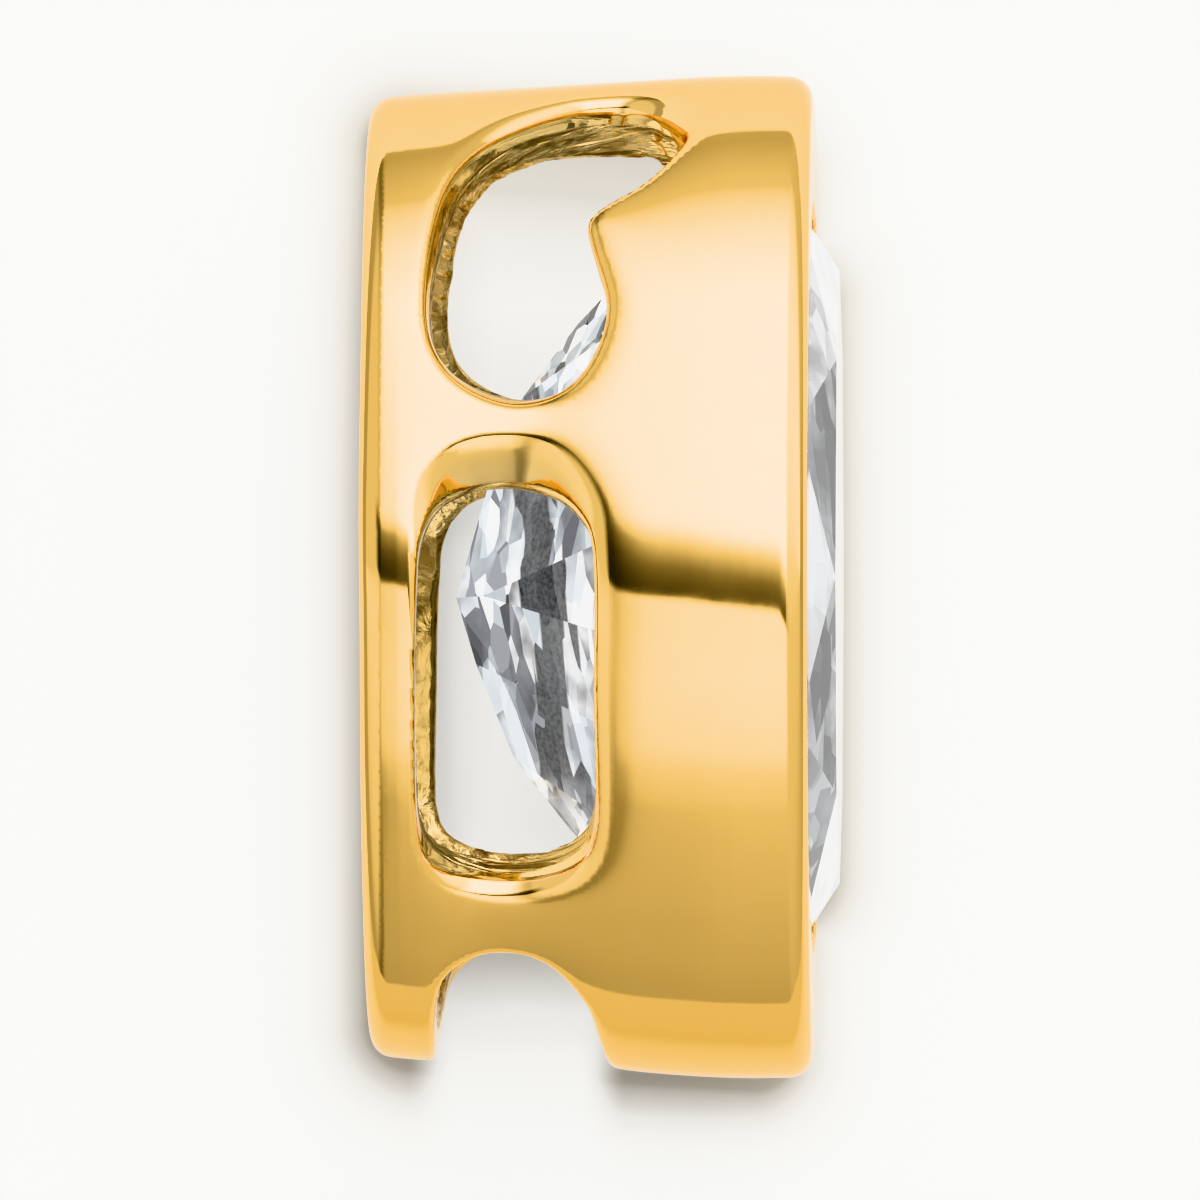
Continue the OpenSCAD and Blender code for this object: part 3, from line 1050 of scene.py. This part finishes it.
def add_floor_light(tree, across, along):
    """How much light the board keeps at a place."""
    skewed = add_product(tree, add_sum(tree, across, -SKEW_FROM), SHADE_SKEW)
    field = add_box_distance(tree, (across, add_sum(tree, along, skewed)), SHADE_MIDDLE, SHADE_HALF)
    beside = add_box_distance(tree, (across, along), STONE_MIDDLE, STONE_HALF)
    field = add_maths(tree, "MINIMUM", field, beside)
    ends = add_rest(tree, add_ramp(tree, along, END_SHADE))
    ends = add_product(tree, ends, add_range(tree, field, END_SHADE_EDGE))
    light = add_product(tree, add_ramp(tree, field, SHADE), add_rest(tree, ends))
    off_strip = add_maths(tree, "ABSOLUTE", add_sum(tree, across, -STRIP_MIDDLE))
    strip = add_product(
        tree,
        add_range(tree, off_strip, STRIP_SIDES, (STRIP_LIGHT, 0), "SMOOTHSTEP"),
        add_range(tree, along, STRIP_ENDS, (1, 0), "SMOOTHSTEP"),
    )
    dark = add_product(tree, add_rest(tree, light), add_rest(tree, strip))
    return add_product(tree, add_rest(tree, dark), add_ramp(tree, along, BOARD_FADE))


def floor_material():
    material, tree, shader = new_material("pale_floor")
    across, along, _ = add_axes(tree, add_scaled(tree, add_place(tree), 1 / MM))
    light = add_floor_light(tree, across, along)
    fibres = add_mix(tree, add_noise(tree, FIBRE_SCALE, FIBRE_DETAIL), *FIBRE_COLOURS)
    tree.links.new(add_mix(tree, light, BOARD_SHADE, fibres), shader.inputs["Base Color"])
    tree.links.new(add_mix(tree, light, BOARD_SHADE, BOARD_LIGHT), shader.inputs["Emission Color"])
    shader.inputs["Emission Strength"].default_value = BOARD_GLOW
    shader.inputs["Roughness"].default_value = BOARD_ROUGHNESS
    return material


# Stage, light and camera

# The pale board's edges, from its middle: to the sides and 12 o'clock, and towards 6 o'clock
FLOOR_REACH = 20
FLOOR_LOWER = 34


def floor_piece():
    mesh = bpy.data.meshes.new("floor")
    reach, lower = FLOOR_REACH * MM, FLOOR_LOWER * MM
    mesh.from_pydata([(-reach, -lower, 0), (reach, -lower, 0), (reach, reach, 0), (-reach, reach, 0)],
                     [], [(0, 1, 2, 3)])
    floor = bpy.data.objects.new("floor", mesh)
    bpy.context.scene.collection.objects.link(floor)
    mesh.materials.append(floor_material())


# Light of the tent: angle from straight up in degrees, positive towards 12 o'clock, and brightness
SKY = [
    (-180, 0.5),
    (-109, 0.5),
    (-95, 0.54),
    (-75, 0.63),
    (-55, 0.77),
    (-49, 0.84),
    (-41, 1.35),
    (-35, 2.6),
    (-30, 3.0),
    (-20, 3.5),
    (-6, 3.3),
    (0, 6.0),
    (8, 8.5),
    (60, 8.5),
    (70, 5.5),
    (78, 3.2),
    (87, 0.9),
    (110, 0.55),
    (180, 0.5),
]
# The dark slit that the camera looks through, from its lower and its upper side: angle, share of light left
SLIT_BELOW = [
    (-12, 1.0),
    (-7.8, 1.0),
    (-7.0, 0.3),
    (-6.4, 0.0),
    (20, 0.0),
]
SLIT_ABOVE = [
    (-12, 0.0),
    (-6.6, 0.02),
    (-3.8, 0.032),
    (-2, 0.045),
    (-0.4, 0.073),
    (1, 0.1),
    (2.2, 0.125),
    (3.3, 0.22),
    (4.4, 0.37),
    (5.6, 0.6),
    (7, 0.86),
    (9.5, 1.0),
    (20, 1.0),
]
# Light of the panel at the left
LEFT_PANEL = [
    (-180, 0.5),
    (-100, 0.5),
    (-85, 0.8),
    (-40, 1.3),
    (-12, 1.7),
    (-5, 1.5),
    (0, 0.9),
    (80, 0.9),
    (95, 0.5),
    (180, 0.5),
]
# Light of the panel at the right
RIGHT_PANEL = [
    (-180, 0.5),
    (-95, 0.7),
    (-60, 0.85),
    (-12, 1.0),
    (0, 1.4),
    (15, 3.0),
    (45, 4.0),
    (70, 3.5),
    (82, 2.5),
    (92, 0.8),
    (180, 0.5),
]
# Shares of the tent, of the panels and of the slit by the direction's part to the right
TENT_SHARE = [
    (-1, 0.0),
    (-0.46, 0.0),
    (-0.38, 0.06),
    (-0.34, 0.15),
    (-0.28, 0.5),
    (-0.24, 0.85),
    (-0.2, 0.97),
    (-0.06, 1.1),
    (0.22, 1.1),
    (0.4, 0.0),
    (1, 0.0),
]
LEFT_SHARE = [
    (-1, 1.0),
    (-0.5, 1.0),
    (-0.4, 0.45),
    (-0.34, 0.2),
    (-0.28, 0.0),
    (1, 0.0),
]
RIGHT_SHARE = [
    (-1, 0.0),
    (0.22, 0.0),
    (0.4, 1.0),
    (1, 1.0),
]
SLIT_SHARE = [
    (-1, 0.0),
    (-0.6, 0.0),
    (-0.45, 1.0),
    (0.25, 1.0),
    (0.5, 0.0),
    (1, 0.0),
]
# The tent hangs askew: how far each side of the slit moves down for each unit to the right
SKEW_BELOW = 0.2
SKEW_ABOVE = 0.33


def add_angle(tree, along, upwards):
    return add_maths(tree, "DEGREES", add_maths(tree, "ARCTAN2", along, upwards))


def add_slit(tree, across, along, upwards):
    """How much light the slit leaves in a direction."""
    sides = []
    for skew, stops in ((SKEW_BELOW, SLIT_BELOW), (SKEW_ABOVE, SLIT_ABOVE)):
        skewed = add_sum(tree, along, add_product(tree, across, skew))
        sides.append(add_ramp(tree, add_angle(tree, skewed, upwards), stops))
    closed = add_product(tree, add_rest(tree, add_sum(tree, *sides)), add_ramp(tree, across, SLIT_SHARE))
    return add_maths(tree, "MAXIMUM", add_rest(tree, closed), 0)


def light_world():
    world = bpy.data.worlds.new("soft_tent")
    bpy.context.scene.world = world
    world.use_nodes = True
    tree = world.node_tree
    background = tree.nodes["Background"]
    place = tree.nodes.new("ShaderNodeTexCoord")
    across, along, upwards = add_axes(tree, place.outputs["Generated"])
    angle = add_angle(tree, along, upwards)
    tent, left, right = (
        add_product(tree, add_ramp(tree, angle, heights), add_ramp(tree, across, shares))
        for heights, shares in ((SKY, TENT_SHARE), (LEFT_PANEL, LEFT_SHARE), (RIGHT_PANEL, RIGHT_SHARE))
    )
    total = add_sum(tree, add_sum(tree, tent, left), right)
    opened = add_slit(tree, across, along, upwards)
    tree.links.new(add_product(tree, total, opened), background.inputs["Strength"])
    background.inputs["Color"].default_value = (1, 1, 1, 1)


def place_camera():
    target = own_to_world() @ Vector((AIM_UP, 0, AIM_LEVEL))
    direction = Vector((math.sin(CAMERA_LEAN), 0, math.cos(CAMERA_LEAN)))
    data = bpy.data.cameras.new("camera")
    data.sensor_width = SENSOR
    data.lens = SENSOR * CAMERA_DISTANCE * PIXELS_PER_MM / IMAGE_PIXELS
    data.clip_start = CAMERA_NEAR * MM
    camera = bpy.data.objects.new("camera", data)
    bpy.context.scene.collection.objects.link(camera)
    right = Vector((0, 1, 0)).cross(direction).normalized()
    turn = Matrix((right, direction.cross(right), direction)).transposed()
    camera.matrix_world = Matrix.Translation(target + direction * CAMERA_DISTANCE * MM) @ turn.to_4x4()
    bpy.context.scene.camera = camera


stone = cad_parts["stone"]
stone.data.materials.clear()
stone.data.materials.append(stone_material())

setting = setting_piece(stone)
setting.data.materials.append(gold_material())
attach(setting, "root")
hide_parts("setting")

floor_piece()
light_world()
place_camera()
bpy.context.scene.view_settings.view_transform = "Khronos PBR Neutral"
bpy.context.scene.cycles.caustics_reflective = False
